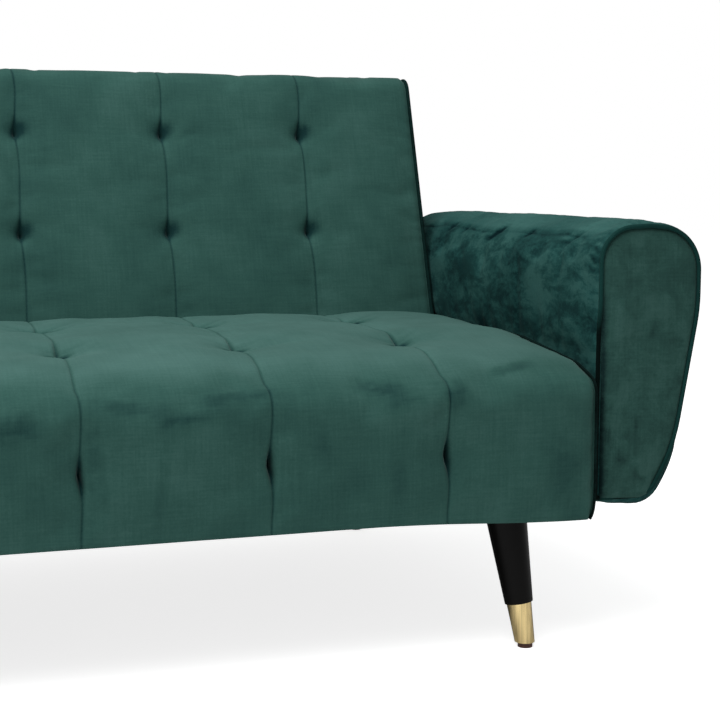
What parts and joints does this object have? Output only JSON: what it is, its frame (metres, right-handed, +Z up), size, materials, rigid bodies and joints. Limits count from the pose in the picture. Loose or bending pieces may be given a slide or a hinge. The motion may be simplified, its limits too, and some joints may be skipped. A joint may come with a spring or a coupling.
{
  "type": "sofa bed",
  "caption": "Three-seat click-clack sofa bed: padded seat, a back that folds flat on ratchet hinges, padded arms and splayed metal-tipped legs.",
  "frame": {"origin": "on the floor, midway along the sofa and midway between its front and its rear, with the back upright", "axes": "+X along the sofa towards the right arm as seen from the front, +Y to the rear, +Z up"},
  "size_m": [2.134, 0.844, 0.8006],
  "materials": {
    "timber": "matte",
    "hardboard": "matte",
    "spring_wire": "satin",
    "zinc_steel": "satin",
    "felt": "matte",
    "foam": "matte",
    "velvet": "matte",
    "piping": "matte",
    "dust_cloth": "matte",
    "black_lacquer": "satin",
    "brass": "satin",
    "glide_plastic": "matte",
    "black_plastic": "matte"
  },
  "bodies": {
    "root": {"front_rail": "timber", "seat_rear_rail": "timber", "rear_rail": "timber", "side_rail_left": "timber", "side_rail_right": "timber", "stretchers": "timber", "corner_blocks": "timber", "seat_springs": "spring_wire", "seat_spring_clips": "zinc_steel", "seat_felt": "felt", "front_pad": "foam", "seat_foam": "foam", "seat_cover": "velvet", "seat_welts": "piping", "dust_cover": "dust_cloth", "leg_front_left": "black_lacquer", "leg_front_right": "black_lacquer", "leg_rear_left": "black_lacquer", "leg_rear_right": "black_lacquer", "centre_leg": "black_lacquer", "ferrules": "brass", "glides": "glide_plastic", "leg_plates": "zinc_steel", "leg_bolts": "zinc_steel", "hinge_base_plate_left": "zinc_steel", "hinge_base_plate_right": "zinc_steel", "hinge_rivets": "zinc_steel", "pawl_pins": "zinc_steel", "pawl_springs": "zinc_steel", "hinge_base_bolts": "zinc_steel", "arm_cover_left": "velvet", "arm_cover_right": "velvet", "arm_front_panel_left": "velvet", "arm_front_panel_right": "velvet", "arm_foam_left": "foam", "arm_foam_right": "foam", "arm_welts": "piping", "arm_ribs": "timber", "arm_inner_panels": "timber", "arm_shells": "hardboard", "arm_rear_panels": "velvet", "arm_bolts": "zinc_steel", "arm_spacers": "black_plastic"},
    "back": {"back_post_left": "timber", "back_post_right": "timber", "back_top_rail": "timber", "back_bottom_rail": "timber", "back_stiles": "timber", "back_springs": "spring_wire", "back_spring_clips": "zinc_steel", "back_felt": "felt", "back_foam": "foam", "back_cover": "velvet", "back_rear_panel": "velvet", "back_welts": "piping", "hinge_back_plate_left": "zinc_steel", "hinge_back_plate_right": "zinc_steel", "hinge_back_bolts": "zinc_steel"},
    "pawl_left": {"pawl_left": "zinc_steel"},
    "pawl_right": {"pawl_right": "zinc_steel"}
  },
  "joints": [
    {"name": "back_recline", "type": "hinge", "parent": "root", "child": "back", "pos_m": [0, 0.2047, 0.345], "axis": [-1, 0, 0], "range_deg": [-12, 71.5]},
    {"name": "pawl_left_swing", "type": "hinge", "parent": "root", "child": "pawl_left", "pos_m": [0, 0.2407, 0.313], "axis": [-1, 0, 0], "range_deg": [0, 7]},
    {"name": "pawl_right_swing", "type": "hinge", "parent": "root", "child": "pawl_right", "pos_m": [0, 0.2407, 0.313], "axis": [-1, 0, 0], "range_deg": [0, 7]}
  ]
}
